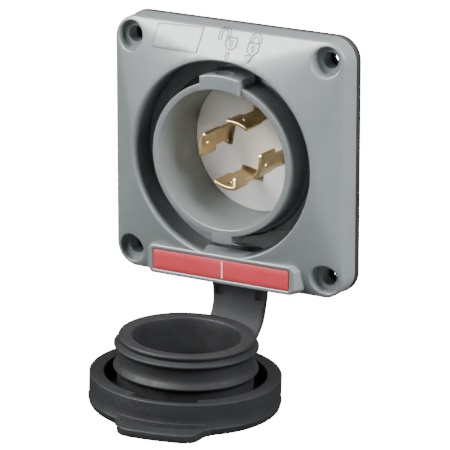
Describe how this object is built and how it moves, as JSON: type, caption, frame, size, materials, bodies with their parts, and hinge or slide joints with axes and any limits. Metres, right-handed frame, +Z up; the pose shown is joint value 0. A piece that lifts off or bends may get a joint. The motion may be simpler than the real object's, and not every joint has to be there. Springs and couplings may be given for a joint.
{
  "type": "flanged power inlet",
  "caption": "Square-flanged watertight twist-lock power inlet with a recessed shroud, locking blades, rear screw terminals and a rubber closure cap on a strap.",
  "frame": {"origin": "centre of the mounting plane, at the back of the gasket, on the shroud's axis", "axes": "+X to the right as seen from the front, +Y into the panel along the shroud's axis, +Z up"},
  "size_m": [0.1106, 0.151, 0.1545],
  "materials": {
    "housing_grey": "fine matte moulded thermoplastic",
    "rubber_black": "matte moulded rubber",
    "label_red": "satin printed label, no lettering",
    "nylon_white": "satin moulded nylon",
    "brass_blade": "stamped brass, bright edges",
    "zinc_steel": "zinc plated",
    "green_screw": "green dyed screw"
  },
  "bodies": {
    "inlet": {"flange_housing": "housing_grey", "panel_gasket": "rubber_black", "label_plate": "label_red", "face_insert": "nylon_white", "face_seal": "rubber_black", "terminal_block": "nylon_white", "assembly_screws": "zinc_steel", "blade_left": "brass_blade", "blade_top": "brass_blade", "blade_right": "brass_blade", "blade_ground": "brass_blade", "strap_anchor": "rubber_black"},
    "strap": {"strap_upper": "rubber_black"},
    "strap_end": {"strap_lower": "rubber_black"},
    "cap": {"closure_cap": "rubber_black"},
    "clamp_left": {"clamp_left": "zinc_steel"},
    "screw_left": {"screw_left": "brass_blade"},
    "clamp_top": {"clamp_top": "zinc_steel"},
    "screw_top": {"screw_top": "brass_blade"},
    "clamp_right": {"clamp_right": "zinc_steel"},
    "screw_right": {"screw_right": "brass_blade"},
    "clamp_ground": {"clamp_ground": "zinc_steel"},
    "screw_ground": {"screw_ground": "green_screw"}
  },
  "joints": [
    {"name": "strap_swing", "type": "hinge", "parent": "inlet", "child": "strap", "pos_m": [0, -0.0032, -0.0476], "axis": [-1, 0, 0], "range_deg": [0, 90], "deforming": ["strap_upper"]},
    {"name": "cap_twist", "type": "hinge", "parent": "strap", "child": "strap_end", "pos_m": [0.00049, -0.0475, -0.08389], "axis": [-0.0182, -0.1217, -0.9924], "range_deg": [0, 17.23], "deforming": ["strap_lower"]},
    {"name": "cap_push", "type": "slide", "parent": "strap_end", "child": "cap", "axis": [0.0366, 0, 0.9993], "range_m": [0, 0.02678]},
    {"name": "clamp_left_slide", "type": "slide", "parent": "inlet", "child": "clamp_left", "axis": [0.9781, 0, -0.2079], "range_m": [0, 0.0024]},
    {"name": "screw_left_turn", "type": "hinge", "parent": "clamp_left", "child": "screw_left", "pos_m": [-0.01956, 0.037, 0.00416], "axis": [0.9781, 0, -0.2079], "range_deg": [0, 1240]},
    {"name": "clamp_top_slide", "type": "slide", "parent": "inlet", "child": "clamp_top", "axis": [-0.2079, 0, -0.9781], "range_m": [0, 0.0024]},
    {"name": "screw_top_turn", "type": "hinge", "parent": "clamp_top", "child": "screw_top", "pos_m": [0.00416, 0.037, 0.01956], "axis": [-0.2079, 0, -0.9781], "range_deg": [0, 1240]},
    {"name": "clamp_right_slide", "type": "slide", "parent": "inlet", "child": "clamp_right", "axis": [-0.9781, 0, 0.2079], "range_m": [0, 0.0024]},
    {"name": "screw_right_turn", "type": "hinge", "parent": "clamp_right", "child": "screw_right", "pos_m": [0.01956, 0.037, -0.00416], "axis": [-0.9781, 0, 0.2079], "range_deg": [0, 1240]},
    {"name": "clamp_ground_slide", "type": "slide", "parent": "inlet", "child": "clamp_ground", "axis": [0.2079, 0, 0.9781], "range_m": [0, 0.0024]},
    {"name": "screw_ground_turn", "type": "hinge", "parent": "clamp_ground", "child": "screw_ground", "pos_m": [-0.00416, 0.037, -0.01956], "axis": [0.2079, 0, 0.9781], "range_deg": [0, 1240]}
  ],
  "couplings": [
    {"joint": "cap_twist", "follows": "strap_swing", "ratio": 0.19031},
    {"joint": "screw_left_turn", "follows": "clamp_left_slide", "rad_per_m": 8976},
    {"joint": "screw_top_turn", "follows": "clamp_top_slide", "rad_per_m": 8976},
    {"joint": "screw_right_turn", "follows": "clamp_right_slide", "rad_per_m": 8976},
    {"joint": "screw_ground_turn", "follows": "clamp_ground_slide", "rad_per_m": 8976}
  ]
}
